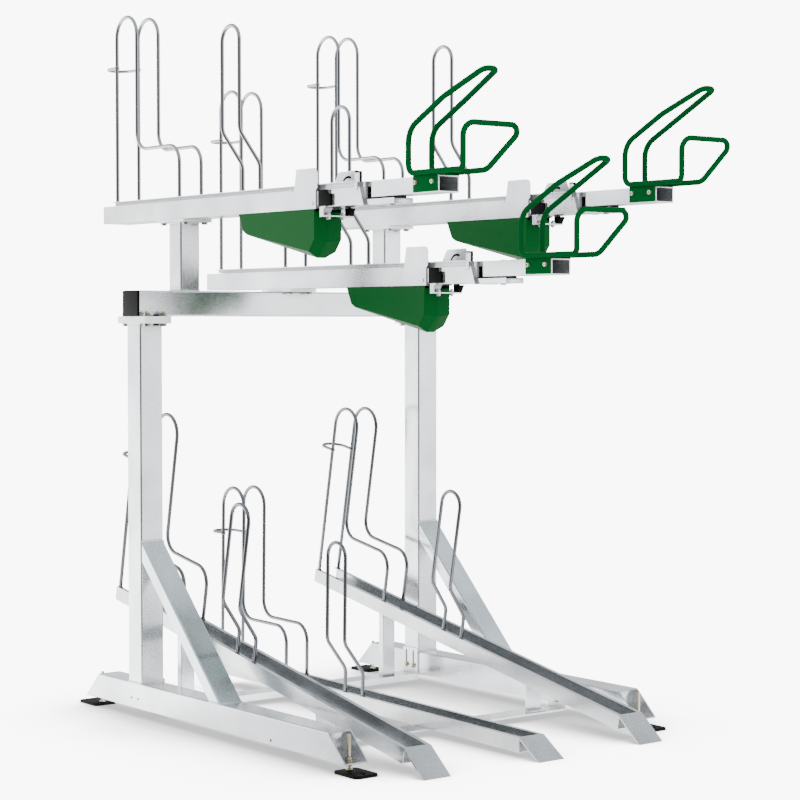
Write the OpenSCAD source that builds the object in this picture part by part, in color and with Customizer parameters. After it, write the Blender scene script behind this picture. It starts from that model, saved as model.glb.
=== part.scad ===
// Two tier bike rack: a floor frame with three sliding, tilting upper trays
// and three fixed lower trays. Millimetres, +Z up, front of the rack at -Y.
// Origin: on the floor, at the centre of the rack's plan.

/* [Frame] */
// Distance between the two post centres
post_gap = 1092; // [1060:2:1160]
// Width and depth of the posts and width of the foot beams
post_w = 80; // [76:1:84]
// Height of the foot beams
foot_h = 80; // [74:1:88]
// Height of the foot beams' underside above the floor
foot_lift = 30; // [26:1:34]
// Height of the post tops under the bolted flanges
post_top = 1230; // [1150:5:1350]
// Wall of the frame tubes
tube_wall = 4; // [3:0.5:5]
// Outer corner radius of the frame tubes
tube_r = 5; // [3:0.5:8]

/* [Trays] */
// Distance between neighbouring trays
tray_gap = 400; // [390:1:410]
// Height of the two raised upper trays above the middle one
stub_rise = 214; // [180:2:240]
// Incline of the two raised lower trays in degrees
low_tilt = 10.8; // [9:0.1:12]
// Diameter of the bright wheel and lock rods
rod_d = 12; // [10:0.5:12]
// Height of the wheel hoops above a tray
hoop_h = 592; // [520:4:640]
// Height of the lock loops above a tray
loop_h = 480; // [420:4:540]

/* [Handles] */
// Diameter of the green handle tube
handle_d = 16; // [14:1:18]
// Reach of the handle tip in front of the handle beam's end
handle_reach = 174; // [150:2:200]

/* [Hidden] */
$fn = 32;
post_x = post_gap / 2;
clear = 0.3;

foot_top = foot_lift + foot_h;
foot_front = -1110;
foot_rear = 309;
foot_cut = 83;
plate_t = 8;
plate_l = 110;
spindle_r = 6;
spindle_inset = 36;
spindle_top = foot_lift + 77;
nut_r = 11;
nut_h = 10;

flange_t = 11;
flange_x = 94;
flange_y = 164;
flange_bolt_x = 30;
flange_bolt_y = 62;
beam_z = post_top + 2 * flange_t;
beam_h = 80;
beam_d = 90;
beam_half = post_x + 44;
beam_top = beam_z + beam_h;
cap_t = 8;

brace_top = 555;
brace_drop = 62;

seat_t = 10;
seat_x = 105;
seat_y = 160;
seat_bolt_x = 35;
seat_bolt_y = 64;
stub_w = 70;
rail_low = beam_top + seat_t;
rail_high = rail_low + stub_rise;

// Upper tray section, from the rail's underside up
sheet = 3;
thin = 2.5;
rail_half = 50;
rail_in = rail_half - sheet;
rail_h = 56;
rail_rear = 418;
rail_front = -785;
ear_front = -793;
rail_floor_end = -697;
ear_rear = -678;
ear_h = 116;
carriage_half = 42;
carriage_low = sheet + clear;
carriage_top = 52;
trough_half = 34;
tray_top = 70;
tray_flange = 46.2;
rod_x = 40;
rod_r = rod_d / 2;
carriage_rear = 350;
tray_rear = 369;
tray_front = -962;

// Tilt head
tilt_y = -768;
tilt_z = 16;
pin_r = 6;
pin_play = 0.05;
cheek_in = carriage_half + 0.7;
cheek_out = 46.3;

// Gas spring inside the cover
strut_z = -45;
strut_pin_y = -758;
strut_rod_r = 5;
strut_r = 13;

// Handle beam, and the neck of the sliding tray that it is bolted against
beam2_half = 35;
beam2_low = 22;
beam2_h = 45;
beam2_rear = -1015;
beam2_front = -1326;
beam2_top = beam2_low + beam2_h;
neck_half = 33;
neck_front = -1010;
neck_r = 16;
tongue_front = -1130;
tongue_low = 1.5;
tongue_top = 4.5;
tongue_lip = 17;

// Lower trays
low_half = 47;
low_h = 44;
low_lip = 14;
low_rod_x = 41;
low_rear = 357;
low_front = -1213;
low_z = 300.9;
mid_tilt = 1.04;
mid_z = 79.9;
mid_front = -1205;
rail_strip_top = 35;
front_strip_top = 21.4;
strip_low = 16;
cross_front = -752;
bracket_t = 5;

upper_x = [-tray_gap, 0, tray_gap];
upper_z = [rail_high, rail_low, rail_high];
lower_z = [low_z, mid_z, low_z];
lower_a = [low_tilt, mid_tilt, low_tilt];
lower_end = [low_front, mid_front, low_front];

steel = [0.74, 0.76, 0.78];
bright = [0.84, 0.86, 0.88];
green = [0.02, 0.42, 0.17];
black = [0.06, 0.06, 0.07];
zinc = [0.72, 0.68, 0.5];

// Vector helpers and a round rod bent along a line of points
function unit(v) = v / norm(v);
function corner_in(p, i) = unit(p[i] - p[i - 1]);
function corner_out(p, i) = unit(p[i + 1] - p[i]);
function bend_angle(u, v) = acos(max(-1, min(1, u * v)));
function side_of(d) = abs(d[2]) > 0.9 ? unit(cross(d, [0, 1, 0])) : unit(cross(d, [0, 0, 1]));

module placed(x, y, z, at)
  multmatrix([[x[0], y[0], z[0], at[0]],
    [x[1], y[1], z[1], at[1]],
    [x[2], y[2], z[2], at[2]],
    [0, 0, 0, 1]])
    children();

module along(at, d) {
  z = unit(d);
  x = side_of(z);
  placed(x, cross(z, x), z, at)
    children();
}

function radius_at(bend, i) = is_list(bend) ? bend[i - 1] : bend;
function corner_len(p, i, bend) = (i == 0 || i == len(p) - 1) ? 0
  : radius_at(bend, i) * tan(bend_angle(corner_in(p, i), corner_out(p, i)) / 2);

// A rod bent the way a workshop does it: feed a length, turn, bend, feed again.
// x and z are the local axes seen from outside; the rod leaves along local Z.
// It necks a little in its bends, and each straight laps into the bends beside it.
lap = 0.5;

module rod_step(p, i, x, z, bend, r, neck) {
  feed = norm(p[i + 1] - p[i]) - corner_len(p, i, bend) - corner_len(p, i + 1, bend);
  lap_in = i > 0 ? lap : 0;
  lap_out = i + 2 < len(p) ? lap : 0;
  translate([0, 0, -lap_in])
    cylinder(h = feed + lap_in + lap_out, r = r);
  if (i + 2 < len(p)) {
    v = corner_out(p, i + 1);
    y = cross(z, x);
    turn = atan2(v * y, v * x);
    ang = bend_angle(z, v);
    rad = radius_at(bend, i + 1);
    side = cos(turn) * x + sin(turn) * y;
    translate([0, 0, feed])
      rotate([0, 0, turn]) {
        placed([-1, 0, 0], [0, 0, 1], [0, 1, 0], [rad, 0, 0])
          rotate_extrude(angle = ang)
            translate([rad, 0])
              circle(r - neck);
        translate([rad, 0, 0])
          rotate([0, ang, 0])
            translate([-rad, 0, 0])
              rod_step(p, i + 1, cos(ang) * side - sin(ang) * z, v, bend, r, neck);
      }
  }
}

module bent_rod(p, bend, r, neck = 0.25) {
  z = corner_out(p, 0);
  x = side_of(z);
  placed(x, cross(z, x), z, p[0])
    rod_step(p, 0, x, z, bend, r, neck);
}

// A bent sheet or tube drawn as its side outline and pushed across in X
module side_plate(x0, x1)
  translate([x0, 0, 0])
    rotate([90, 0, 90])
      linear_extrude(height = x1 - x0)
        children();

// A section drawn in X and Z and pushed along Y
module section_along(y0, y1)
  translate([0, y1, 0])
    rotate([90, 0, 0])
      linear_extrude(height = y1 - y0)
        children();

module box(x0, x1, y0, y1, z0, z1)
  translate([x0, y0, z0])
    cube([x1 - x0, y1 - y0, z1 - z0]);

module rect2(x0, x1, z0, z1)
  translate([x0, z0])
    square([x1 - x0, z1 - z0]);

module tube_up(w, d, wall, z0, z1, r)
  translate([0, 0, z0])
    linear_extrude(height = z1 - z0)
      difference() {
        rounded_plate(w, d, r);
        square([w - 2 * wall, d - 2 * wall], center = true);
      }

module x_bore(x0, x1, y, z, r)
  translate([x0, y, z])
    rotate([0, 90, 0])
      cylinder(h = x1 - x0, r = r);

module z_bore(x, y, z0, z1, r)
  translate([x, y, z0])
    cylinder(h = z1 - z0, r = r);

module hex_up(x, y, z0, z1, r)
  translate([x, y, z0])
    cylinder(h = z1 - z0, r = r, $fn = 6);

module hex_x(x0, x1, y, z, r)
  translate([x0, y, z])
    rotate([0, 90, 0])
      cylinder(h = x1 - x0, r = r, $fn = 6);

module rounded_plate(w, l, r)
  union() {
    square([w - 2 * r, l], center = true);
    square([w, l - 2 * r], center = true);
    for (sx = [-1, 1], sy = [-1, 1])
      translate([sx * (w / 2 - r), sy * (l / 2 - r)])
        circle(r);
  }

module rack_frame()
  translate([0, post_y, 0])
    children();

spindle_y = [foot_front + spindle_inset, foot_rear - spindle_inset];
bracket_y = [21, -17];
bracket_bolt_z = 61;
tab_bolt_z = 45;

module foot_beam(side)
  rack_frame()
    translate([side * post_x, 0, 0])
      difference() {
        intersection() {
          section_along(foot_front - foot_cut, foot_rear + foot_cut)
            translate([0, foot_lift + foot_h / 2])
              rounded_plate(post_w, foot_h, tube_r);
          side_plate(-post_w, post_w)
            polygon([[foot_front - foot_cut, foot_lift - foot_h], [foot_rear + foot_cut, foot_lift - foot_h],
              [foot_rear - 2 * foot_cut, foot_top + foot_h], [foot_front + 2 * foot_cut, foot_top + foot_h]]);
        }
        box(-post_w / 2 + tube_wall, post_w / 2 - tube_wall, foot_front - 10, foot_rear + 10,
          foot_lift + tube_wall, foot_top - tube_wall);
        for (y = spindle_y)
          z_bore(0, y, foot_lift - 1, foot_lift + tube_wall + 1, spindle_r + 0.5);
        for (y = bracket_y)
          x_bore(-post_w / 2 - 1, post_w / 2 + 1, y, bracket_bolt_z, 4.5);
        x_bore(-post_w / 2 - 1, post_w / 2 + 1, cross_front, tab_bolt_z, 4.5);
      }

module foot_beam_near() color(steel) foot_beam(-1);
module foot_beam_far() color(steel) foot_beam(1);

anchor_step = 63;
anchor_r = 8;
plate_inset = 24;

module one_foot_plate(y, out)
  translate([0, y + out * (plate_l / 2 - plate_inset), 0])
    difference() {
      linear_extrude(height = plate_t)
        rounded_plate(post_w, plate_l, 14);
      z_bore(0, out * (anchor_step - plate_l / 2 + plate_inset), -1, plate_t + 1, anchor_r);
    }

module foot_plates()
  color(black)
    rack_frame()
      for (side = [-1, 1])
        translate([side * post_x, 0, 0]) {
          one_foot_plate(spindle_y[0], -1);
          one_foot_plate(spindle_y[1], 1);
        }

module level_spindles()
  color(zinc)
    rack_frame()
      for (side = [-1, 1], y = spindle_y)
        translate([side * post_x, y, 0]) {
          z_bore(0, 0, plate_t, spindle_top, spindle_r);
          z_bore(0, 0, plate_t, plate_t + 5, spindle_r + 4);
          hex_up(0, 0, foot_lift - nut_h, foot_lift, nut_r);
          hex_up(0, 0, foot_lift + tube_wall + 2, foot_lift + tube_wall + 2 + nut_h, nut_r);
          z_bore(0, 0, foot_lift + tube_wall, foot_lift + tube_wall + 2, nut_r + 2);
        }

// How far a welded flange's pad reaches into the tube above it
weld_in = 0.5;

module flange_plate(z0, pad)
  union() {
    difference() {
      box(-flange_x / 2, flange_x / 2, -flange_y / 2, flange_y / 2, z0, z0 + flange_t);
      for (sx = [-1, 1], sy = [-1, 1])
        z_bore(sx * flange_bolt_x, sy * flange_bolt_y, z0 - 1, z0 + flange_t + 1, 6.5);
    }
    if (pad > 0)
      box(-post_w / 2 + 1, post_w / 2 - 1, -beam_d / 2 + 6, beam_d / 2 - 6, z0 + flange_t - 1, z0 + flange_t + pad);
  }

module post(side)
  rack_frame()
    translate([side * post_x, 0, 0]) {
      tube_up(post_w, post_w, tube_wall, foot_top, post_top, tube_r);
      flange_plate(post_top, 0);
    }

module post_near() color(steel) post(-1);
module post_far() color(steel) post(1);

brace_y = -post_w / 2;
brace_mid = brace_top - brace_drop / 2;
brace_l = (brace_mid - foot_top) * sqrt(2);

// A length of tube at 45 degrees, cut upright at the post and level at the foot beam
module brace(side)
  rack_frame()
    translate([side * post_x, 0, 0])
      difference() {
        translate([0, brace_y, brace_mid])
          rotate([135, 0, 0])
            tube_up(post_w, brace_drop / sqrt(2), tube_wall, -brace_drop, brace_l + brace_drop, tube_r);
        box(-post_w, post_w, brace_y, brace_y + 2 * brace_drop, foot_top, brace_top + 2 * brace_drop);
        box(-post_w, post_w, brace_y - brace_mid - brace_drop, brace_y, foot_lift, foot_top);
      }

module brace_near() color(steel) brace(-1);
module brace_far() color(steel) brace(1);

module crossbeam()
  color(steel)
    rack_frame() {
      translate([0, 0, beam_z + beam_h / 2])
        rotate([0, 90, 0])
          tube_up(beam_h, beam_d, tube_wall, -beam_half, beam_half, tube_r);
      for (side = [-1, 1])
        translate([side * post_x, 0, 0])
          flange_plate(post_top + flange_t, weld_in);
    }

module end_caps()
  color(black)
    rack_frame()
      for (side = [-1, 1])
        scale([side, 1, 1]) {
          translate([beam_half, 0, beam_z + beam_h / 2])
            rotate([90, 0, 90])
              linear_extrude(height = cap_t)
                rounded_plate(beam_d, beam_h, tube_r);
          box(beam_half - 18, beam_half, -beam_d / 2 + tube_wall + clear,
            beam_d / 2 - tube_wall - clear, beam_z + tube_wall + clear, beam_top - tube_wall - clear);
        }

module seat_plate(z0)
  difference() {
    box(-seat_x / 2, seat_x / 2, -seat_y / 2, seat_y / 2, z0, z0 + seat_t);
    for (sx = [-1, 1], sy = [-1, 1])
      z_bore(sx * seat_bolt_x, sy * seat_bolt_y, z0 - 1, z0 + seat_t + 1, 5.5);
  }

module stub(side)
  rack_frame()
    translate([side * tray_gap, 0, 0]) {
      tube_up(stub_w, stub_w, tube_wall, beam_top, rail_high - seat_t, tube_r);
      seat_plate(rail_high - seat_t);
    }

module stub_near() color(steel) stub(-1);
module stub_far() color(steel) stub(1);
module middle_seat() color(steel) rack_frame() seat_plate(beam_top);

module bolt_up(x, y, z0, z1, r, head)
  union() {
    z_bore(x, y, z0, z1, r);
    hex_up(x, y, z0 - head, z0, r * 1.85);
    z_bore(x, y, z0 - 2, z0, r * 2.1);
  }

module frame_bolts()
  color(zinc)
    rack_frame() {
      for (side = [-1, 1], sx = [-1, 1], sy = [-1, 1])
        translate([side * post_x + sx * flange_bolt_x, sy * flange_bolt_y, 0]) {
          bolt_up(0, 0, post_top, beam_z + 14, 6, 8);
          hex_up(0, 0, beam_z, beam_z + 10, nut_r);
        }
      for (i = [0:2], sx = [-1, 1], sy = [-1, 1])
        bolt_up(upper_x[i] + sx * seat_bolt_x, sy * seat_bolt_y, upper_z[i] - seat_t, upper_z[i], 5, 7);
      for (side = [-1, 1]) scale([side, 1, 1]) {
        for (y = bracket_y) {
          x_bore(side_in - bracket_t - 2, side_in + 12, y, bracket_bolt_z, 4);
          hex_x(side_in - bracket_t - 8, side_in - bracket_t - 2, y, bracket_bolt_z, 7.5);
          x_bore(side_in - bracket_t - 2, side_in - bracket_t, y, bracket_bolt_z, 9);
        }
        x_bore(side_in - bracket_t - 2, side_in + 12, cross_front, tab_bolt_z, 4);
        hex_x(side_in - bracket_t - 8, side_in - bracket_t - 2, cross_front, tab_bolt_z, 7.5);
        x_bore(side_in - bracket_t - 2, side_in - bracket_t, cross_front, tab_bolt_z, 9);
      }
    }

// Inner faces of the foot beams, where the two cross members bolt on
side_in = post_x - post_w / 2;
bracket_y0 = -39;
bracket_y1 = 39;

module slot_bracket()
  difference() {
    box(side_in - bracket_t, side_in, bracket_y0, bracket_y1, 14, 120);
    for (y = bracket_y) {
      x_bore(side_in - bracket_t - 1, side_in + 1, y, bracket_bolt_z - 2, 4.6);
      x_bore(side_in - bracket_t - 1, side_in + 1, y, 108, 4.6);
      box(side_in - bracket_t - 1, side_in + 1, y - 4.6, y + 4.6, bracket_bolt_z - 2, 108);
    }
  }

module rear_cross_rail()
  color(steel)
    rack_frame() {
      section_along_x(-side_in + bracket_t, side_in - bracket_t)
        difference() {
          rect2(bracket_y0, bracket_y1, 14, rail_strip_top);
          rect2(bracket_y0 + 3, bracket_y1 - 3, 13, rail_strip_top - 3);
        }
      for (side = [-1, 1])
        scale([side, 1, 1])
          slot_bracket();
    }

module section_along_x(x0, x1)
  translate([x0, 0, 0])
    rotate([90, 0, 90])
      linear_extrude(height = x1 - x0)
        children();

module front_cross_strip()
  color(steel)
    rack_frame() {
      box(-side_in, side_in, cross_front - 40, cross_front + 40, strip_low, front_strip_top);
      for (side = [-1, 1])
        scale([side, 1, 1])
          difference() {
            box(side_in - bracket_t, side_in, cross_front - 40, cross_front + 40, strip_low, 62);
            x_bore(side_in - bracket_t - 1, side_in + 1, cross_front, tab_bolt_z, 4.6);
          }
    }

// Everything above a raised lower tray's underside, less a weld gap
module under_tray_cut()
  translate([0, 0, low_z])
    rotate([low_tilt, 0, 0])
      box(-tray_gap / 4, tray_gap / 4, low_front, low_rear, -low_h - 0.2, low_z);

module rear_uprights()
  color(steel)
    rack_frame()
      for (side = [-1, 1])
        translate([side * tray_gap, 0, 0])
          difference() {
            tube_up(50, 25, 2.5, rail_strip_top, low_z, 3);
            under_tray_cut();
          }

// Height of a line that lies t above a raised lower tray's top, at one Y
function tray_line(y, t) = low_z + y * tan(low_tilt) + t / cos(low_tilt);

module front_supports() {
  top = -low_h - 0.2;
  under = top - 5;
  end = cross_front + 30;
  color(steel)
    rack_frame()
      for (side = [-1, 1])
        translate([side * tray_gap, 0, 0])
          side_plate(-30, 30)
            polygon([[cross_front - 30, front_strip_top], [cross_front, front_strip_top],
              [cross_front, tray_line(cross_front, under)], [end, tray_line(end, under)],
              [end, tray_line(end, top)], [cross_front - 5, tray_line(cross_front - 5, top)],
              [cross_front - 5, front_strip_top + 5], [cross_front - 30, front_strip_top + 5]]);
}

// Lower trays: a lipped channel with a ramp plate down to the floor
ramp_run = 88;
ramp_t = 4;

// Outline of the ramp plate in the tray's own slope: f is the tray's front end
// and q how much steeper the ramp falls than the tray
module ramp_outline(f, q, l) {
  d = [-cos(q), -sin(q)];
  n = [sin(q), -cos(q)];
  inner = f + ramp_t * (sin(q) - tan(q / 2) * cos(q));
  polygon([[f + 6, 0], [f, 0], [f, 0] + l * d, [f, 0] + l * d + ramp_t * n,
    [inner, -ramp_t], [f + 6, -ramp_t]]);
}

module low_tray(i) {
  a = lower_a[i];
  z = lower_z[i];
  f = lower_end[i];
  tip_z = z + f * sin(a);
  fall = atan2(tip_z, ramp_run);
  rack_frame()
    translate([upper_x[i], 0, 0])
      difference() {
        translate([0, 0, z])
          rotate([a, 0, 0])
            union() {
              section_along(f, low_rear)
                difference() {
                  rect2(-low_half, low_half, -low_h, 0);
                  rect2(-low_half + thin, low_half - thin, -low_h + thin, -thin);
                  rect2(-low_half + low_lip, low_half - low_lip, -low_h + thin, 1);
                }
              side_plate(-low_half, low_half)
                ramp_outline(f, fall - a, ramp_run / cos(fall) + 20);
            }
        box(-60, 60, f - 200, f + 200, -60, 0);
      }
}

module low_tray_1() color(steel) low_tray(0);
module low_tray_2() color(steel) low_tray(1);
module low_tray_3() color(steel) low_tray(2);

// Wheel hoops, the stop hook that joins them and the lock loop of one tray
hoop_rear = 343;
hoop_front = 218;
hoop_step = 162;
hoop_foot = -38;
hoop_bend = 62.4;
step_bend = 56;
hook_h = 434;
hook_tip = 428;
hook_r = 5;
loop_half = 46;
loop_out = 72;
loop_rise = 96;
loop_foot_h = 75;
loop_bend = 45;

module wheel_hoop(x)
  bent_rod([[x, hoop_rear, 0], [x, hoop_rear, hoop_h], [x, hoop_front, hoop_h],
    [x, hoop_front, hoop_step], [x, hoop_foot, hoop_step], [x, hoop_foot, 0]],
    [hoop_bend, hoop_bend, step_bend, step_bend], rod_r);

module stop_hook(x)
  bent_rod([[-x, hoop_rear, hook_h], [-x, hook_tip, hook_h], [x, hook_tip, hook_h],
    [x, hoop_rear, hook_h]], x - 0.1, hook_r);

module lock_loop(x, s)
  bent_rod([[-x, s + loop_half, 0], [-x, s + loop_half, loop_foot_h],
    [-x - loop_out, s + loop_half, loop_foot_h + loop_rise],
    [-x - loop_out, s + loop_half, loop_h], [-x - loop_out, s - loop_half, loop_h],
    [-x - loop_out, s - loop_half, loop_foot_h + loop_rise],
    [-x, s - loop_half, loop_foot_h], [-x, s - loop_half, 0]], loop_bend, rod_r);

module tray_rods(x, s) {
  wheel_hoop(-x);
  wheel_hoop(x);
  stop_hook(x);
  lock_loop(x, s);
}

module low_rods(i)
  rack_frame()
    translate([upper_x[i], 0, lower_z[i]])
      rotate([lower_a[i], 0, 0])
        tray_rods(low_rod_x, -411);

module low_rods_1() color(bright) low_rods(0);
module low_rods_2() color(bright) low_rods(1);
module low_rods_3() color(bright) low_rods(2);

// Upper tier: everything is drawn for one position and moved to its place
module upper_place(i)
  rack_frame()
    translate([upper_x[i], 0, upper_z[i]])
      children();

module rail(i)
  upper_place(i)
    difference() {
      union() {
        box(-rail_half, rail_half, rail_floor_end, rail_rear, 0, sheet);
        side_plate(rail_in, rail_half)
          rect2(rail_front, rail_rear, 0, rail_h);
        side_plate(-rail_half, -rail_in)
          union() {
            polygon([[rail_front, 0], [rail_rear, 0], [rail_rear, rail_h], [ear_rear, rail_h],
              [ear_rear - 11, ear_h], [ear_front + 18, ear_h], [ear_front, ear_h - 18],
              [ear_front, rail_h + 4], [rail_front, rail_h - 4]]);
            translate([ear_front + 18, ear_h - 18])
              circle(18);
          }
      }
      for (side = [-1, 1])
        x_bore(side > 0 ? rail_in - 1 : -rail_half - 1, side > 0 ? rail_half + 1 : -rail_in + 1,
          tilt_y, tilt_z, pin_r + pin_play);
      x_bore(-rail_half - 1, -rail_in + 1, ear_rear + 6, rail_h - 3, 2.5);
    }

module rail_1() color(steel) rail(0);
module rail_2() color(steel) rail(1);
module rail_3() color(steel) rail(2);

// Half space cut away beyond a plane through three points
module beyond(a, b, c)
  along(a, cross(b - a, c - a))
    box(-600, 600, -600, 600, 0, 400);

cover_half = 48;

module cover_body(o)
  difference() {
    intersection() {
      side_plate(-cover_half + o, cover_half - o)
        polygon([[-383 - 1.1 * o, o], [-408 - 0.9 * o, -52 + 0.4 * o], [-429 - 0.4 * o, -64 + o],
          [-743 + 0.2 * o, -139 + 1.25 * o], [-783 + o, -91 + 0.4 * o], [-783 + o, o]]);
      translate([0, 0, -200])
        linear_extrude(height = 240)
          polygon([[-60, -774 + o], [0, -783 + o], [60, -774 + o], [60, -300], [-60, -300]]);
    }
    for (s = [-1, 1])
      scale([s, 1, 1]) {
        beyond([cover_half - o, -757, -123 + o], [cover_half - 34, -743, -139 + o],
          [cover_half - o, -429, -62 + o]);
        beyond([cover_half - o, -776 + o, -85 + 0.6 * o], [0, -783 + o, -93 + 0.6 * o],
          [12, -743 + 0.6 * o, -139 + 0.8 * o]);
      }
  }

module cover(i)
  upper_place(i)
    difference() {
      cover_body(0);
      cover_body(sheet);
      box(-rail_in + 2, rail_in - 2, -800, -757, -8, 1);
    }

module cover_1() color(green) cover(0);
module cover_2() color(green) cover(1);
module cover_3() color(green) cover(2);

module y_rod(y0, y1, z, r)
  translate([0, y1, z])
    rotate([90, 0, 0])
      cylinder(h = y1 - y0, r = r);

module strut_tube(i)
  upper_place(i)
    difference() {
      union() {
        y_rod(-695, -480, strut_z, strut_r);
        box(-9, 9, -505, -480, strut_z, 0);
        box(-22, 22, -512, -473, -4, 0);
      }
      y_rod(-700, -570, strut_z, strut_rod_r + 0.05);
    }

module strut_tube_1() color(black) strut_tube(0);
module strut_tube_2() color(black) strut_tube(1);
module strut_tube_3() color(black) strut_tube(2);

module strut_rod(i)
  upper_place(i)
    union() {
      y_rod(-731, -608, strut_z, strut_rod_r);
      box(-9, 9, -738, -730, strut_z - 7, strut_z + 7);
      for (s = [-1, 1])
        scale([s, 1, 1])
          box(5, 9, strut_pin_y - 6, -730, strut_z - 6, strut_z + 6);
      x_bore(-9, 9, strut_pin_y, strut_z, 3);
    }

module strut_rod_1() color(bright) strut_rod(0);
module strut_rod_2() color(bright) strut_rod(1);
module strut_rod_3() color(bright) strut_rod(2);

// Tilt head: a yoke that carries the sliding tray and turns on two short pins
strip_z = -24;
drop_y = -808;
cheek_outline = [[-702, 0.6], [-757, 0.6], [-768, 1], [-782, 9], [-800, 9], [-800, strip_z],
  [-816, strip_z], [-816, -6], [-834, 9], [-834, 48], [-790, 50], [-740, 44], [-702, 30]];

module head(i)
  upper_place(i)
    difference() {
      union() {
        for (s = [-1, 1])
          scale([s, 1, 1]) {
            side_plate(cheek_in, cheek_out)
              union() {
                polygon(cheek_outline);
                translate([tilt_y, tilt_z])
                  circle(15);
              }
            x_bore(cheek_out - 1, rail_half + 2, tilt_y, tilt_z, pin_r);
          }
        box(-cheek_out, cheek_out, -757, -702, 0.6, 2.9);
        section_along(drop_y, drop_y + 4)
          polygon([[-cheek_out, 2.9], [-6, 2.9], [-22, strip_z], [-cheek_out, strip_z]]);
        box(-cheek_out, cheek_out, drop_y - 28, drop_y + 4, strip_z, strip_z + 3);
        for (at = [[-28, drop_y - 8], [16, drop_y - 16]])
          translate(at) {
            hex_up(0, 0, strip_z - 6, strip_z, 7.5);
            hex_up(0, 0, strip_z + 3, strip_z + 10, 7.5);
            z_bore(0, 0, strip_z - 8, strip_z + 14, 4);
          }
        box(cheek_in, rail_half, -834, -800, 12, 62);
        side_plate(cheek_out + 0.2, rail_half)
          polygon([[-800, 12], [-867, 12], [-867, 76], [-850, 110], [-764, 108], [-733, 62], [-800, 62]]);
        side_plate(-3, 3)
          polygon([[-757, 2], [-768, -36], [-765.5, -72], [-745, -72], [-742, 2]]);
      }
      for (k = [0:8])
        x_bore(rail_half - 5, rail_half + 1, -810 + 26 * cos(20 + 12 * k), 70 + 22 * sin(20 + 12 * k), 4);
      translate([0, tilt_y, tilt_z])
        rotate([9.3, 0, 0])
          box(-4, 4, -4.5, 4.5, -80, -56);
    }

module head_1() color(steel) head(0);
module head_2() color(steel) head(1);
module head_3() color(steel) head(2);

module bumper(i)
  upper_place(i) {
    union() {
      box(-rail_half + 0.4, -cheek_out, -842, -796, 6, 52);
      box(-rail_half + 0.4, -cheek_in, -858, -834, 6, 40);
    }
    side_plate(26, cheek_out)
      polygon([[drop_y - 14, strip_z + 3], [drop_y - 28, strip_z + 3], [drop_y - 40, 1], [drop_y - 14, 1]]);
    box(rail_half, rail_half + 2, -842, -772, 64, 98);
  }

module bumper_1() color(black) bumper(0);
module bumper_2() color(black) bumper(1);
module bumper_3() color(black) bumper(2);

// Outline in X and Y of a box section with a round-cornered end at Y = tip
module round_ended(half, r, tip, butt) {
  way = sign(butt - tip);
  union() {
    translate([-half, min(tip + way * r, butt)])
      square([2 * half, abs(butt - tip) - r]);
    translate([-half + r, min(tip, tip + way * (r + 1))])
      square([2 * half - 2 * r, r + 1]);
    for (s = [-1, 1])
      translate([s * (half - r), tip + way * r])
        circle(r);
  }
}

// Sliding tray: a box carriage with the wheel trough set into it, a slanted nose
// with a neck, a tongue under the handle beam and an upright stop at its near side
tongue_bolt = -1080;
stop_out = 44;
stop_in = 34;
stop_front = -976;
stop_rear = -964;
stop_top = 92;

module tray_section()
  difference() {
    union() {
      difference() {
        rect2(-carriage_half, carriage_half, carriage_low, carriage_top);
        rect2(-carriage_half + thin, carriage_half - thin, carriage_low + thin, carriage_top - thin);
      }
      rect2(-trough_half, trough_half, 22, tray_top);
      rect2(-tray_flange, tray_flange, tray_top - thin, tray_top);
    }
    rect2(-trough_half + thin, trough_half - thin, 22 + thin, tray_top + 1);
  }

module tray(i)
  upper_place(i)
    union() {
      section_along(-968, carriage_rear) tray_section();
      difference() {
        section_along(carriage_rear, tray_rear) tray_section();
        box(-60, 60, carriage_rear, tray_rear + 1, 0, tray_top - 12);
      }
      difference() {
        side_plate(-carriage_half, carriage_half)
          polygon([[-960, carriage_top], [-984, carriage_top], [-1003, 0], [-960, carriage_low]]);
        side_plate(-carriage_half + thin, carriage_half - thin)
          polygon([[-950, carriage_top - thin], [-980, carriage_top - thin], [-996, carriage_low + thin],
            [-950, carriage_low + thin]]);
      }
      difference() {
        translate([0, 0, beam2_low])
          linear_extrude(height = beam2_h)
            round_ended(neck_half, neck_r, neck_front, -966);
        translate([0, 0, beam2_low + thin])
          linear_extrude(height = beam2_h - 2 * thin)
            round_ended(neck_half - thin, neck_r - thin, neck_front + thin, -960);
      }
      box(-neck_half, neck_half, tongue_front, -990, tongue_low, tongue_top);
      for (s = [-1, 1])
        scale([s, 1, 1])
          box(neck_half - sheet, neck_half, tongue_front, -1008, tongue_low, tongue_lip);
      z_bore(0, tongue_bolt, tongue_low - 4, tongue_low + 1, 9);
      box(-stop_out, -stop_out + 4, stop_front, stop_rear, carriage_top - 8, stop_top);
      box(-stop_out, -stop_in, stop_front, stop_front + sheet, carriage_top, stop_top);
    }

module tray_1() color(steel) tray(0);
module tray_2() color(steel) tray(1);
module tray_3() color(steel) tray(2);

module upper_rods(i)
  upper_place(i)
    translate([0, 0, tray_top])
      tray_rods(rod_x, -442);

module rods_1() color(bright) upper_rods(0);
module rods_2() color(bright) upper_rods(1);
module rods_3() color(bright) upper_rods(2);

module arm(i)
  upper_place(i)
    union() {
      difference() {
        translate([0, 0, beam2_low])
          linear_extrude(height = beam2_h)
            round_ended(beam2_half, 20, beam2_rear, beam2_front);
        translate([0, 0, beam2_low + sheet])
          linear_extrude(height = beam2_h - 2 * sheet)
            round_ended(beam2_half - sheet, 20 - sheet, beam2_rear - sheet, beam2_front - 5);
      }
      for (y = [tongue_bolt, tongue_bolt - 96])
        z_bore(0, y, beam2_top - 1, beam2_top + 3, 7);
    }

module arm_1() color(steel) arm(0);
module arm_2() color(steel) arm(1);
module arm_3() color(steel) arm(2);

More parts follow.
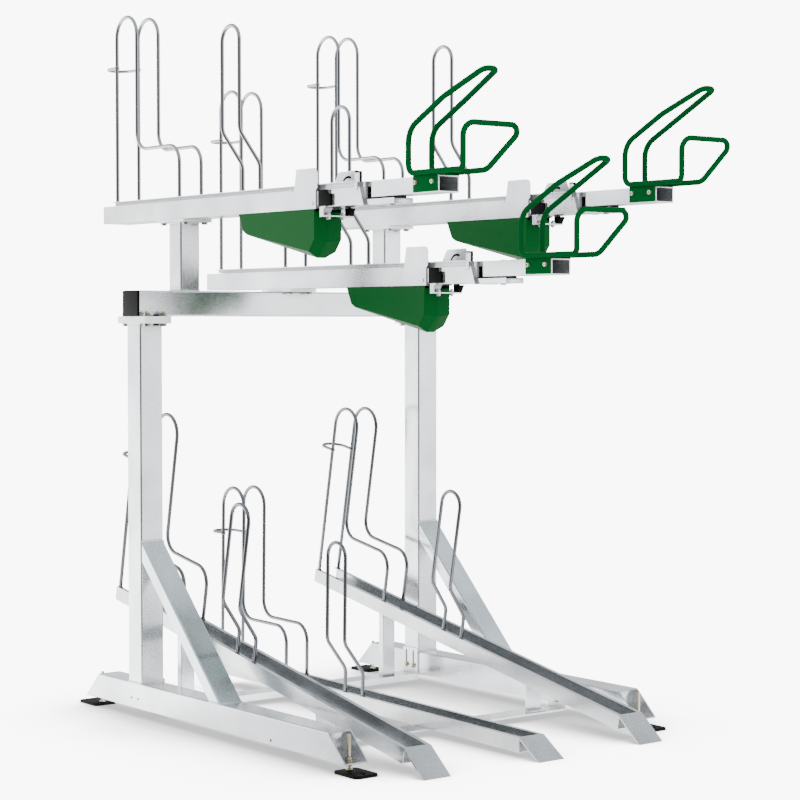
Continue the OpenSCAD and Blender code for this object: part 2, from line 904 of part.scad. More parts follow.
module pads(i)
  upper_place(i) {
    union() {
      box(-neck_half - 1, neck_half + 1, beam2_rear, neck_front, tongue_lip, 52);
      box(-neck_half - 1, neck_half + 1, -1100, neck_front, tongue_lip, beam2_low);
      box(-28, 28, -1092, neck_front - 2, tongue_top, tongue_lip + 1);
    }
    box(-12, 12, -1150, -1125, beam2_top, beam2_top + 2);
    union() {
      box(-stop_out, -stop_in, stop_front, stop_rear, stop_top, stop_top + 5);
      box(-stop_in, -28, stop_front - sheet, stop_front + 2.5, beam2_top, stop_top + 5);
    }
  }

module pads_1() color(black) pads(0);
module pads_2() color(black) pads(1);
module pads_3() color(black) pads(2);

// Green handle: a saddle bolted over the arm and one closed tube loop
handle_r = handle_d / 2;
saddle_rear = -1219;
saddle_front = -1324;
saddle_bolts = [saddle_rear - 10, saddle_rear - 83];
saddle_bolt_z = 51;
grip_x = 40;
grip_z = beam2_top + sheet + handle_r - 1;
grip_rear = -1203;
grip_front = -1435;
grip_tip = beam2_front - handle_reach;

// Y of the post centres, so that the plan is centred on the origin: the handle
// tips reach furthest forward and the stop hooks furthest back
post_y = -(hook_tip + hook_r + grip_tip - handle_r) / 2;

grip_join = -1266;
tube_neck = 0.3;
grip_rise = 194;
grip_kink = [-1354, 271];
grip_top = 334;
tip_half = 22;
stirrup_z = 200;
stirrup_x = 172;

// Each half of the grip is one bent tube from the tip's middle back and down to
// the saddle; the stirrup in front is another, and sleeves join their ends
module handle_loop()
  union() {
    for (s = [-1, 1])
      scale([s, 1, 1]) {
        bent_rod([[0, grip_tip, grip_top], [tip_half, grip_tip, grip_top],
          [grip_x, grip_kink[0], grip_kink[1]], [grip_x, grip_rear, grip_rise],
          [grip_x, grip_rear, grip_z], [grip_x, grip_join, grip_z]],
          [20, 60, 60, 24], handle_r, tube_neck);
        translate([grip_x, grip_join - 8, grip_z])
          rotate([-90, 0, 0])
            cylinder(h = 15, r = handle_r + 0.8);
      }
    bent_rod([[grip_x, grip_join - 1, grip_z], [grip_x, grip_front, grip_z],
      [stirrup_x, grip_front, stirrup_z], [-grip_x, grip_front, stirrup_z],
      [-grip_x, grip_front, grip_z], [-grip_x, grip_join - 1, grip_z]],
      [16, 18, 38, 16], handle_r, tube_neck);
  }

module handle(i)
  upper_place(i) {
    difference() {
      box(-beam2_half - sheet, beam2_half + sheet, saddle_front, saddle_rear, beam2_low + 3, beam2_top + sheet);
      box(-beam2_half, beam2_half, saddle_front - 1, saddle_rear + 1, beam2_low + 2, beam2_top);
    }
    for (s = [-1, 1], y = saddle_bolts)
      scale([s, 1, 1])
        x_bore(beam2_half + sheet, beam2_half + sheet + 5, y, saddle_bolt_z, 6.3);
    handle_loop();
  }

module handle_1() color(green) handle(0);
module handle_2() color(green) handle(1);
module handle_3() color(green) handle(2);

foot_beam_near();
foot_beam_far();
foot_plates();
level_spindles();
post_near();
post_far();
brace_near();
brace_far();
crossbeam();
end_caps();
stub_near();
stub_far();
middle_seat();
frame_bolts();
rear_cross_rail();
front_cross_strip();
rear_uprights();
front_supports();
low_tray_1();
low_tray_2();
low_tray_3();
low_rods_1();
low_rods_2();
low_rods_3();
rail_1();
rail_2();
rail_3();
cover_1();
cover_2();
cover_3();
strut_tube_1();
strut_tube_2();
strut_tube_3();
strut_rod_1();
strut_rod_2();
strut_rod_3();
head_1();
head_2();
head_3();
bumper_1();
bumper_2();
bumper_3();
tray_1();
tray_2();
tray_3();
rods_1();
rods_2();
rods_3();
arm_1();
arm_2();
arm_3();
pads_1();
pads_2();
pads_3();
handle_1();
handle_2();
handle_3();
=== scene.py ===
import math

import bpy
from mathutils import Matrix, Vector


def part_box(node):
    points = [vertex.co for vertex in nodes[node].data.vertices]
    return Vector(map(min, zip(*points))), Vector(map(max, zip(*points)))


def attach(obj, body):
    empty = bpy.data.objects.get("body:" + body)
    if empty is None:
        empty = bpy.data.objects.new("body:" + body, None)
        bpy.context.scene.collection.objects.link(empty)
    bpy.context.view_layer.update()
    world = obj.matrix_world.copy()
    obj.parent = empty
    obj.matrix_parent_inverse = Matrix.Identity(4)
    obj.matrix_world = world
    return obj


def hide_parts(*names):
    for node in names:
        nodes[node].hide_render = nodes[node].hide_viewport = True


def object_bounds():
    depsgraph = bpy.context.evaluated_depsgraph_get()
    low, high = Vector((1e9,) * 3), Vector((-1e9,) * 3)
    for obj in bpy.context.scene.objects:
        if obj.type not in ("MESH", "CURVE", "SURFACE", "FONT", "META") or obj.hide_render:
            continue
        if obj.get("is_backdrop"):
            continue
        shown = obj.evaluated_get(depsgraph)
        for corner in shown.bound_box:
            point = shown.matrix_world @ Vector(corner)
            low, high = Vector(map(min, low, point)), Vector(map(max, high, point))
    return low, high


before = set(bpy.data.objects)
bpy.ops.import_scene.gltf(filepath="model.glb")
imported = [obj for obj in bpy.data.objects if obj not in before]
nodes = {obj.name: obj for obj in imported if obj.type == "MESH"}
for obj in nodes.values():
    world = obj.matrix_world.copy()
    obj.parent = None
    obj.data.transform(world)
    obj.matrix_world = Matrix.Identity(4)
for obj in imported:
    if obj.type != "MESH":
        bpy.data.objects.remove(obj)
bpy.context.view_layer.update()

# The studio: the camera stands a little under seven metres from the near post, where
# the picture's own perspective puts it, and looks a little down. The floor and the
# backdrop are plain white, with a painted grey shadow on the floor round the rack, and
# an even white light falls on the rack from all round.

post_low, post_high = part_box("post_near")
post_x, post_y = (post_low[0] + post_high[0]) / 2, (post_low[1] + post_high[1]) / 2
camera_data = bpy.data.cameras.new("rack_camera")
camera_data.sensor_width = 36.0
camera_data.lens = 96.66
camera_data.clip_end = 60.0
camera = bpy.data.objects.new("rack_camera", camera_data)
down_deg, right_deg, roll = 2.042, 37.6, 0.0006
camera.location = (-3.99727, -5.78463 + post_y, 1.22951)
camera.rotation_euler = (math.radians(90 - down_deg), roll, -math.radians(right_deg))
bpy.context.scene.collection.objects.link(camera)
bpy.context.scene.camera = camera


def add_node(tree, kind, inputs=None, **settings):
    """One node with its settings, and its inputs as values or as links from other sockets."""
    made = tree.nodes.new(kind)
    for name, value in settings.items():
        setattr(made, name, value)
    for name, value in (inputs or {}).items():
        socket = made.inputs[name]
        if isinstance(value, bpy.types.NodeSocket):
            tree.links.new(value, socket)
        else:
            socket.default_value = value
    return made


def grade(tree, fac, stops):
    """A colour ramp along fac, from (place, colour) pairs."""
    ramp = add_node(tree, "ShaderNodeValToRGB", {"Fac": fac})
    while len(ramp.color_ramp.elements) < len(stops):
        ramp.color_ramp.elements.new(0.5)
    for element, (place, colour) in zip(ramp.color_ramp.elements, stops):
        element.position = place
        element.color = colour
    return ramp.outputs["Color"]


def bearing(tree, split):
    """The compass bearing of a direction or place, from 0 to 1 once round from -X."""
    angle = add_node(tree, "ShaderNodeMath", {0: split.outputs["Y"], 1: split.outputs["X"]},
                     operation="ARCTAN2")
    turn = add_node(tree, "ShaderNodeMapRange", {"Value": angle.outputs["Value"], "From Min": -math.pi,
                                                 "From Max": math.pi})
    return turn.outputs["Result"]


# What polished steel sees: a bright wall on the camera's left and one on its right, a
# dark room behind it, a dimmer wall ahead and a cool, dim ceiling.
world = bpy.data.worlds.new("white_studio")
world.use_nodes = True
bpy.context.scene.world = world
sky = world.node_tree
sky.nodes.clear()
towards = add_node(sky, "ShaderNodeTexCoord").outputs["Generated"]
split = add_node(sky, "ShaderNodeSeparateXYZ", {"Vector": towards})
walls = grade(sky, bearing(sky, split), [
    (0.00, (0.05, 0.05, 0.052, 1)), (0.10, (0.012, 0.012, 0.014, 1)), (0.20, (0.03, 0.03, 0.032, 1)),
    (0.25, (0.13, 0.13, 0.135, 1)), (0.29, (0.05, 0.05, 0.052, 1)), (0.345, (0.50, 0.50, 0.50, 1)),
    (0.44, (0.14, 0.145, 0.15, 1)), (0.64, (0.14, 0.145, 0.15, 1)), (0.80, (0.42, 0.42, 0.42, 1)),
    (0.885, (0.47, 0.47, 0.47, 1)), (0.93, (0.12, 0.12, 0.12, 1)), (1.00, (0.05, 0.05, 0.052, 1))])
ceiling = grade(sky, split.outputs["Z"], [(0.22, (0, 0, 0, 1)), (0.55, (1, 1, 1, 1))])
cool_dim = (0.155, 0.165, 0.172, 1)
room = add_node(sky, "ShaderNodeMix", {"Factor": ceiling, "A": walls, "B": cool_dim}, data_type="RGBA")
paths = add_node(sky, "ShaderNodeLightPath")
mirror_light = add_node(sky, "ShaderNodeBackground", {"Color": room.outputs["Result"], "Strength": 7.6})
soft_light = add_node(sky, "ShaderNodeBackground", {"Color": (1.0, 1.0, 1.0, 1), "Strength": 1.15})
backdrop = add_node(sky, "ShaderNodeBackground", {"Color": (1.0, 1.0, 1.0, 1), "Strength": 9.0})
lit = add_node(sky, "ShaderNodeMixShader", {"Fac": paths.outputs["Is Glossy Ray"], 1: soft_light.outputs[0],
                                            2: mirror_light.outputs[0]})
shown = add_node(sky, "ShaderNodeMixShader", {"Fac": paths.outputs["Is Camera Ray"], 1: lit.outputs[0],
                                              2: backdrop.outputs[0]})
add_node(sky, "ShaderNodeOutputWorld", {"Surface": shown.outputs[0]})

bpy.ops.object.select_all(action="DESELECT")
bpy.ops.mesh.primitive_plane_add(size=60, location=(0, 0, 0))
floor = bpy.context.object
floor.name = "studio_floor"
floor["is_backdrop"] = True
floor_paint = bpy.data.materials.new("white floor, grey where the rack keeps the light off")
floor_paint.use_nodes = True
tree = floor_paint.node_tree
tree.nodes.clear()
# Painted shadow: the floor's glow falls off to grey where the rack stands close over it.
open_sky = add_node(tree, "ShaderNodeAmbientOcclusion", {"Distance": 0.45}, samples=8)
shadow = add_node(tree, "ShaderNodeMath", {0: open_sky.outputs["AO"], 1: 3.6}, operation="POWER")
glow = add_node(tree, "ShaderNodeMath", {0: shadow.outputs["Value"], 1: 8.2, 2: 0.8},
                operation="MULTIPLY_ADD")
white = add_node(tree, "ShaderNodeEmission", {"Strength": glow.outputs["Value"]})
matt = add_node(tree, "ShaderNodeBsdfDiffuse", {"Color": (0.85, 0.85, 0.85, 1)})
spot = add_node(tree, "ShaderNodeTexCoord").outputs["Object"]
place = add_node(tree, "ShaderNodeSeparateXYZ", {"Vector": spot})
# Painted reflection: in the steel's mirrors the floor glows with the walls' pattern, and evenly brighter
# close round the rack.
sheen = grade(tree, bearing(tree, place), [
    (0.00, (0.08, 0.08, 0.08, 1)), (0.10, (0.03, 0.03, 0.03, 1)), (0.20, (0.04, 0.04, 0.04, 1)),
    (0.25, (0.14, 0.14, 0.14, 1)), (0.29, (0.07, 0.07, 0.07, 1)), (0.345, (0.48, 0.48, 0.48, 1)),
    (0.44, (0.20, 0.20, 0.205, 1)), (0.64, (0.24, 0.24, 0.24, 1)), (0.80, (0.70, 0.70, 0.70, 1)),
    (0.885, (0.90, 0.90, 0.90, 1)), (0.93, (0.20, 0.20, 0.20, 1)), (1.00, (0.08, 0.08, 0.08, 1))])
reach = add_node(tree, "ShaderNodeVectorMath", {0: spot}, operation="LENGTH")
far_off = add_node(tree, "ShaderNodeMapRange", {"Value": reach.outputs["Value"], "From Min": 1.0,
                                                "From Max": 1.25, "To Min": 0.45, "To Max": 1.0})
near_sheen = (0.62, 0.62, 0.62, 1)
spread = add_node(tree, "ShaderNodeMix", {"Factor": far_off.outputs["Result"], "A": near_sheen, "B": sheen},
                  data_type="RGBA")
bright = add_node(tree, "ShaderNodeEmission", {"Color": spread.outputs["Result"], "Strength": 7.0})
ray = add_node(tree, "ShaderNodeLightPath")
mirrored = add_node(tree, "ShaderNodeMixShader", {"Fac": ray.outputs["Is Glossy Ray"], 1: matt.outputs[0],
                                                  2: bright.outputs[0]})
seen = add_node(tree, "ShaderNodeMixShader", {"Fac": ray.outputs["Is Camera Ray"], 1: mirrored.outputs[0],
                                              2: white.outputs[0]})
add_node(tree, "ShaderNodeOutputMaterial", {"Surface": seen.outputs[0]})
floor.data.materials.append(floor_paint)

# Foot beams: square steel tube cut on a slant at both ends and hot dip galvanised, a
# dull silver with a satin grain and a faint cloudiness. The plates inside the ends are
# a guess: they close the view down the tubes.


def linear(code):
    """A screen colour such as D8DADC as the linear colour that shaders take."""
    values = [int(code[i:i + 2], 16) / 255 for i in (0, 2, 4)]
    return tuple(v / 12.92 if v <= 0.04045 else ((v + 0.055) / 1.055) ** 2.4 for v in values) + (1.0,)


def finish(name, tone, rough, metal, grain_mm, depth_mm, contrast=0.08, shine=0.5, shade_in_hollows_mm=0):
    """A skin of one base tone with a fine grain and slow clouds; it can paint shade into hollows of a size.
    """
    cloud_mm = 160
    made = bpy.data.materials.new(name)
    made.use_nodes = True
    tree = made.node_tree
    skin = tree.nodes["Principled BSDF"]
    place = add_node(tree, "ShaderNodeTexCoord").outputs["Object"]
    grain = add_node(tree, "ShaderNodeTexNoise", {"Vector": place, "Scale": 1000 / grain_mm, "Detail": 3.0})
    cloud = add_node(tree, "ShaderNodeTexNoise", {"Vector": place, "Scale": 1000 / cloud_mm, "Detail": 4.0})
    mixed = add_node(tree, "ShaderNodeMath", {0: grain.outputs["Fac"], 1: cloud.outputs["Fac"]},
                     operation="ADD")
    half = add_node(tree, "ShaderNodeMath", {0: mixed.outputs["Value"], 1: 0.5}, operation="MULTIPLY")
    base = linear(tone)
    low = tuple(v * (1 - contrast) for v in base[:3]) + (1,)
    high = tuple(min(1, v * (1 + contrast)) for v in base[:3]) + (1,)
    colour = grade(tree, half.outputs["Value"], [(0.36, low), (0.64, high)])
    tree.links.new(colour, skin.inputs["Base Color"])
    dull = add_node(tree, "ShaderNodeMapRange", {"Value": half.outputs["Value"], "From Min": 0.35,
                                                 "From Max": 0.65, "To Min": rough - 0.04,
                                                 "To Max": rough + 0.05})
    tree.links.new(dull.outputs["Result"], skin.inputs["Roughness"])
    skin.inputs["Metallic"].default_value = metal
    if shade_in_hollows_mm:
        # Painted shade: close to other surfaces the skin loses its metal shine and looks dark.
        openness = add_node(tree, "ShaderNodeAmbientOcclusion", {"Distance": shade_in_hollows_mm / 1000}, samples=8)
        painted_shade_metal = add_node(tree, "ShaderNodeMapRange", {"Value": openness.outputs["AO"], "From Min": 0.30,
                                                     "From Max": 0.90, "To Min": 0.15, "To Max": metal})
        tree.links.new(painted_shade_metal.outputs["Result"], skin.inputs["Metallic"])
    skin.inputs["Specular IOR Level"].default_value = shine
    relief = add_node(tree, "ShaderNodeBump", {"Height": grain.outputs["Fac"], "Strength": 0.3,
                                               "Distance": depth_mm / 1000})
    tree.links.new(relief.outputs["Normal"], skin.inputs["Normal"])
    return made


# The zinc's real grain is too fine to show, so it is drawn 3.6 mm coarse. Hollows lose
# their metal shine, which is painted shade that makes recesses and tube insides look dark.
zinc_grain_mm = 3.6
zinc_relief_mm = 0.06
zinc_contrast = 0.24
galvanised = finish("hot dip galvanised steel", "D0D3D6", 0.20, 1.0, zinc_grain_mm, zinc_relief_mm,
                    contrast=zinc_contrast, shade_in_hollows_mm=40)


def paint(material, *names):
    """Gives carried-over nodes their finish."""
    for name in names:
        nodes[name].data.materials.clear()
        nodes[name].data.materials.append(material)


def seated(piece, name, body, material, slot, *replaced):
    """Names a finished piece, gives it its material, hangs it on its body and hides the nodes it replaces.
    """
    piece.name = name
    piece.data.name = name
    piece.data.materials.clear()
    piece.data.materials.append(material)
    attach(piece, body)
    if replaced:
        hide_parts(*replaced)
    return piece


def eased(name, width_mm, angle=25, segments=2, smooth=32):
    """A merged copy of a node's mesh with its edges rounded off."""
    source = nodes[name]
    piece = bpy.data.objects.new(name + "_eased", source.data.copy())
    bpy.context.scene.collection.objects.link(piece)
    bpy.ops.object.select_all(action="DESELECT")
    piece.select_set(True)
    bpy.context.view_layer.objects.active = piece
    bpy.ops.object.mode_set(mode="EDIT")
    bpy.ops.mesh.select_all(action="SELECT")
    bpy.ops.mesh.remove_doubles(threshold=2e-6)
    bpy.ops.mesh.dissolve_limited(angle_limit=math.radians(0.3))
    bpy.ops.object.mode_set(mode="OBJECT")
    round_off = piece.modifiers.new("eased_edges", "BEVEL")
    round_off.width = width_mm / 1000
    round_off.segments = segments
    round_off.limit_method = "ANGLE"
    round_off.angle_limit = math.radians(angle)
    bpy.ops.object.modifier_apply(modifier=round_off.name)
    bpy.ops.object.shade_smooth_by_angle(angle=math.radians(smooth))
    return piece


def bar(at, size, ease_mm):
    """A flat bar or strip about a place, with its edges eased."""
    bpy.ops.object.select_all(action="DESELECT")
    bpy.ops.mesh.primitive_cube_add(size=1, location=at, scale=size)
    bpy.ops.object.transform_apply(location=True, rotation=True, scale=True)
    made = bpy.context.object
    ease = made.modifiers.new("eased_edges", "BEVEL")
    ease.width = ease_mm / 1000
    ease.segments = 2
    bpy.ops.object.modifier_apply(modifier=ease.name)
    bpy.ops.object.shade_smooth_by_angle(angle=math.radians(32))
    return made


def joined(pieces):
    """One object from several, the first one's name and origin kept."""
    bpy.ops.object.select_all(action="DESELECT")
    for piece in pieces:
        piece.select_set(True)
    bpy.context.view_layer.objects.active = pieces[0]
    bpy.ops.object.join()
    return bpy.context.object


paint(galvanised, "foot_beam_near", "foot_beam_far")
foot_cut = 0.083
blank_in = foot_cut + 0.010
blank_size = (0.073, 0.003, 0.073)
blanks = []
for name in ("foot_beam_near", "foot_beam_far"):
    low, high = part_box(name)
    middle_x, middle_z = (low[0] + high[0]) / 2, (low[2] + high[2]) / 2
    for y in (low[1] + blank_in, high[1] - blank_in):
        blanks.append(bar((middle_x, y, middle_z), blank_size, 0.5))
seated(joined(blanks), "foot_inner_blanks", "frame", galvanised, "galvanised_steel")

# Foot plates: four moulded black rubber pads under the ends of the foot beams, each
# with rounded corners, a soft top edge and a hole for a floor anchor.
rubber = finish("black moulded rubber", "0C0D0E", 0.62, 0.0, 1.4, 0.10, contrast=0.15, shine=0.06)
seated(eased("foot_plates", 2.0, segments=3), "foot_plates_moulded", "frame", rubber, "black_rubber",
       "foot_plates")

# Levelling spindles: yellow passivated threaded rod standing in each rubber pad, with
# a collar on the pad and a nut under and over the foot beam's lower wall.
yellow_zinc = finish("yellow passivated zinc", "C9C2A6", 0.30, 1.0, 1.2, 0.04)
pitch = 0.0025
thread_deep = 0.0008
ridge_r = 0.0009


def thread(radius, length, at):
    """A threaded rod standing at a place: a core and one helical ridge round it."""
    bpy.ops.object.select_all(action="DESELECT")
    bpy.ops.mesh.primitive_cylinder_add(vertices=24, radius=radius - thread_deep, depth=length,
                                        location=(at[0], at[1], at[2] + length / 2))
    core = bpy.context.object
    ease = core.modifiers.new("chamfered_ends", "BEVEL")
    ease.width = 0.001
    bpy.ops.object.modifier_apply(modifier=ease.name)
    bpy.ops.object.transform_apply(location=True, rotation=True, scale=True)
    bpy.ops.object.select_all(action="DESELECT")
    bpy.ops.mesh.primitive_circle_add(vertices=3, radius=ridge_r, rotation=(math.pi / 2, math.pi / 2, 0),
                                      location=(radius - ridge_r, 0, pitch))
    bpy.ops.object.transform_apply(location=True, rotation=True, scale=True)
    ridge = bpy.context.object
    wind = ridge.modifiers.new("thread", "SCREW")
    wind.screw_offset = pitch
    wind.iterations = max(1, int((length - 2.2 * pitch) / pitch))
    wind.steps = 14
    wind.render_steps = 14
    bpy.ops.object.modifier_apply(modifier=wind.name)
    bpy.ops.object.mode_set(mode="EDIT")
    bpy.ops.mesh.select_all(action="DESELECT")
    bpy.ops.mesh.select_mode(type="VERT")
    bpy.ops.mesh.select_non_manifold()
    bpy.ops.mesh.fill()
    bpy.ops.mesh.select_all(action="SELECT")
    bpy.ops.mesh.normals_make_consistent(inside=False)
    bpy.ops.transform.translate(value=at)
    bpy.ops.object.mode_set(mode="OBJECT")
    return joined([core, ridge])


def turned_disc(radius, height, at, sides=32, ease_mm=0.8, rotation=(0, 0, 0)):
    """A washer, nut or round head with its rims eased; six sides make a nut."""
    bpy.ops.object.select_all(action="DESELECT")
    bpy.ops.mesh.primitive_cylinder_add(vertices=sides, radius=radius, depth=height, location=at,
                                        rotation=rotation)
    bpy.ops.object.transform_apply(location=True, rotation=True, scale=True)
    disc = bpy.context.object
    ease = disc.modifiers.new("eased_rims", "BEVEL")
    ease.width = ease_mm / 1000
    ease.segments = 2
    ease.limit_method = "ANGLE"
    ease.angle_limit = math.radians(40)
    bpy.ops.object.modifier_apply(modifier=ease.name)
    bpy.ops.object.shade_smooth_by_angle(angle=math.radians(32))
    return disc


foot_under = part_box("foot_beam_near")[0][2]
spindle_low, spindle_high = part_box("level_spindles")
spindle_r = 0.006
nut_r, nut_h = 0.011, 0.010
collar_r, collar_h = 0.010, 0.005
washer_t = 0.002
washer_r = nut_r + 0.002
foot_wall = 0.004
on_wall = foot_under + foot_wall
spindle_at = [(x, y) for x in (spindle_low[0] + washer_r, spindle_high[0] - washer_r)
              for y in (spindle_low[1] + washer_r, spindle_high[1] - washer_r)]
spindles = []
for x, y in spindle_at:
    spindles.append(thread(spindle_r, spindle_high[2] - spindle_low[2], (x, y, spindle_low[2])))
    spindles.append(turned_disc(collar_r, collar_h, (x, y, spindle_low[2] + collar_h / 2)))
    spindles.append(turned_disc(nut_r, nut_h, (x, y, foot_under - nut_h / 2), sides=6))
    spindles.append(turned_disc(washer_r, washer_t, (x, y, on_wall + washer_t / 2)))
    spindles.append(turned_disc(nut_r, nut_h, (x, y, on_wall + washer_t + nut_h / 2), sides=6))
seated(joined(spindles), "spindles_threaded", "frame", yellow_zinc, "zinc_fasteners", "level_spindles")

# Posts, braces, crossbeam and stubs: square tube with welded flanges and seats, each
# joint run round with a small weld bead, and the whole dipped in zinc afterwards. The
# braces are the same tube set at 45 degrees; their zinc is tinted a little blue, a
# painted reflection of the cool light above that their slanted faces take.


def bend_rod(points, radii, r, sides=16, step=9):
    """A round rod or tube pushed along a line of points and spun round each bend."""
    pts = [Vector(p) for p in points]
    u = (pts[1] - pts[0]).normalized()
    facing = Vector((0, 0, 1)).rotation_difference(u).to_euler()
    bpy.ops.object.select_all(action="DESELECT")
    bpy.ops.mesh.primitive_circle_add(vertices=sides, radius=r, location=pts[0], rotation=facing,
                                      fill_type="NGON")
    rod = bpy.context.object
    bpy.ops.object.transform_apply(location=True, rotation=True, scale=True)
    bpy.ops.object.mode_set(mode="EDIT")
    bpy.ops.mesh.select_all(action="SELECT")
    here = pts[0]
    for i in range(1, len(pts)):
        u = (pts[i] - pts[i - 1]).normalized()
        last = i == len(pts) - 1
        cut = 0
        if not last:
            v = (pts[i + 1] - pts[i]).normalized()
            bend = u.angle(v)
            cut = radii[i - 1] * math.tan(bend / 2)
        end = pts[i] - u * cut
        bpy.ops.mesh.extrude_region_move(TRANSFORM_OT_translate={"value": end - here})
        here = end
        if not last:
            axis = u.cross(v).normalized()
            centre = end + axis.cross(u).normalized() * radii[i - 1]
            turns = max(3, round(math.degrees(bend) / step))
            bpy.ops.mesh.spin(steps=turns, angle=-bend, center=centre, axis=axis)
            here = pts[i] + v * cut
    bpy.ops.mesh.select_all(action="SELECT")
    bpy.ops.mesh.remove_doubles(threshold=1e-6)
    bpy.ops.mesh.normals_make_consistent(inside=False)
    bpy.ops.object.mode_set(mode="OBJECT")
    bpy.ops.object.shade_smooth_by_angle(angle=math.radians(40))
    return rod


bead_r = 0.003
bead_corner = 0.006


def weld_round(x, y, z, width, depth):
    """A weld bead round the foot of a square tube that stands on a plate."""
    a, b = width / 2, depth / 2
    path = [(x, y - b, z), (x + a, y - b, z), (x + a, y + b, z), (x - a, y + b, z), (x - a, y - b, z),
            (x, y - b, z)]
    return bend_rod(path, [bead_corner] * 4, bead_r, sides=10, step=22)


paint(galvanised, "post_near", "post_far", "crossbeam", "stub_near", "stub_far", "middle_seat")
# The braces' bluer tone is a painted reflection of the cool light above.
reflection_tinted_zinc = finish("hot dip galvanised steel, bluer zinc", "CBD2D6", 0.20, 1.0, zinc_grain_mm,
                   zinc_relief_mm, contrast=zinc_contrast, shade_in_hollows_mm=40)
paint(reflection_tinted_zinc, "brace_near", "brace_far")
post_w = 0.080
flange_t = 0.011
stub_w = 0.070
seat_t = 0.010
brace_cut = 0.062
beads = []
for side in ("near", "far"):
    low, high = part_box("post_" + side)
    x = (low[0] + high[0]) / 2
    beads.append(weld_round(x, post_y, low[2], post_w, post_w))
    beads.append(weld_round(x, post_y, high[2] - flange_t, post_w, post_w))
    low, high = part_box("brace_" + side)
    front = low[1] + brace_cut / 2
    beads.append(weld_round(x, front, low[2], post_w, brace_cut))
    upper = bend_rod([(x - post_w / 2, high[1], high[2] - brace_cut), (x - post_w / 2, high[1], high[2]),
                      (x + post_w / 2, high[1], high[2]), (x + post_w / 2, high[1], high[2] - brace_cut)],
                     [bead_corner] * 2, bead_r, sides=10, step=22)
    beads.append(upper)
    low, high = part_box("stub_" + side)
    x = (low[0] + high[0]) / 2
    beads.append(weld_round(x, post_y, low[2], stub_w, stub_w))
    beads.append(weld_round(x, post_y, high[2] - seat_t, stub_w, stub_w))
seated(joined(beads), "weld_beads", "frame", galvanised, "galvanised_steel")

# End caps: black moulded polypropylene plugs pushed into the crossbeam's open ends,
# with the face plate's rim softly rounded.
polypropylene = finish("black moulded polypropylene", "0E0F10", 0.45, 0.0, 1.0, 0.06, contrast=0.12,
                       shine=0.06)
seated(eased("end_caps", 2.5, segments=3), "end_caps_moulded", "frame", polypropylene, "black_plastic",
       "end_caps")

# Frame bolts: yellow passivated hexagon bolts with a washer, clamping the flanges, the
# rail seats and the cross members. Black plugs close the flange's spare front holes.
flange_top = post_high[2] + flange_t
flange_washer_r, flange_hex_r, flange_head_h, flange_nut_h = 0.0126, 0.0111, 0.007, 0.009
seat_washer_r, seat_hex_r, seat_head_h = 0.0105, 0.00925, 0.005
cross_washer_r, cross_hex_r, cross_head_h = 0.009, 0.0075, 0.006
flange_step_x, flange_step_y = 0.030, 0.062
seat_step_x, seat_step_y = 0.035, 0.064
stud_r, stud_h = 0.006, 0.015
bracket_t = 0.005
bolts = []
for side in (-1, 1):
    for sx in (-flange_step_x, flange_step_x):
        for sy in (-flange_step_y, flange_step_y):
            x, y = side * abs(post_x) + sx, post_y + sy
            under = post_high[2] - flange_t
            head_z = under - washer_t - flange_head_h / 2
            nut_z = flange_top + washer_t + flange_nut_h / 2
            bolts.append(turned_disc(flange_washer_r, washer_t, (x, y, under - washer_t / 2)))
            bolts.append(turned_disc(flange_hex_r, flange_head_h, (x, y, head_z), sides=6))
            bolts.append(turned_disc(flange_washer_r, washer_t, (x, y, flange_top + washer_t / 2)))
            bolts.append(turned_disc(flange_hex_r, flange_nut_h, (x, y, nut_z), sides=6))
            bolts.append(thread(stud_r, stud_h, (x, y, flange_top)))
for i in (1, 2, 3):
    low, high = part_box(f"rail_{i}")
    x = (low[0] + high[0]) / 2
    for sx in (-seat_step_x, seat_step_x):
        for sy in (-seat_step_y, seat_step_y):
            seat = low[2] - seat_t
            head_z = seat - washer_t - seat_head_h / 2
            bolts.append(turned_disc(seat_washer_r, washer_t, (x + sx, post_y + sy, seat - washer_t / 2)))
            bolts.append(turned_disc(seat_hex_r, seat_head_h, (x + sx, post_y + sy, head_z), sides=6))
face = abs(post_x) - post_w / 2 - bracket_t
washer_x = face - washer_t / 2
head_x = face - washer_t - cross_head_h / 2
across = (0, math.pi / 2, 0)
# Each cross member bolt's place: Y from the posts' line, and Z.
cross_bolts = ((0.021, 0.061), (-0.017, 0.061), (-0.752, 0.045))
for side in (-1, 1):
    for y, z in cross_bolts:
        bolts.append(turned_disc(cross_washer_r, washer_t, (side * washer_x, post_y + y, z),
                                 rotation=across))
        bolts.append(turned_disc(cross_hex_r, cross_head_h, (side * head_x, post_y + y, z), sides=6,
                                 rotation=across))
seated(joined(bolts), "frame_bolts_set", "frame", yellow_zinc, "zinc_fasteners", "frame_bolts")
plug_r, plug_h = 0.009, 0.006
plug_y = post_low[1] + 0.012
plugs = []
for side in (-1, 1):
    for z in (post_high[2] - flange_t - plug_h / 2, flange_top + plug_h / 2):
        plugs.append(turned_disc(plug_r, plug_h, (side * abs(post_x), plug_y, z), ease_mm=2.0))
seated(joined(plugs), "flange_plugs", "frame", polypropylene, "black_plastic")

# Floor cross members and lower supports: folded and cut plate and small tubes, bolted
# or welded between the two foot beams and galvanised with the rest.
paint(galvanised, "rear_cross_rail", "front_cross_strip", "rear_uprights", "front_supports")

# Lower trays: rolled steel channels with lipped edges, galvanised, each ending in a
# ramp plate down to the floor. The two outer ones slope, the middle one is nearly flat.
rolled_zinc = finish("galvanised steel channel", "BEC0C1", 0.20, 1.0, zinc_grain_mm, zinc_relief_mm,
                     contrast=zinc_contrast)
paint(rolled_zinc, "low_tray_1", "low_tray_2", "low_tray_3")

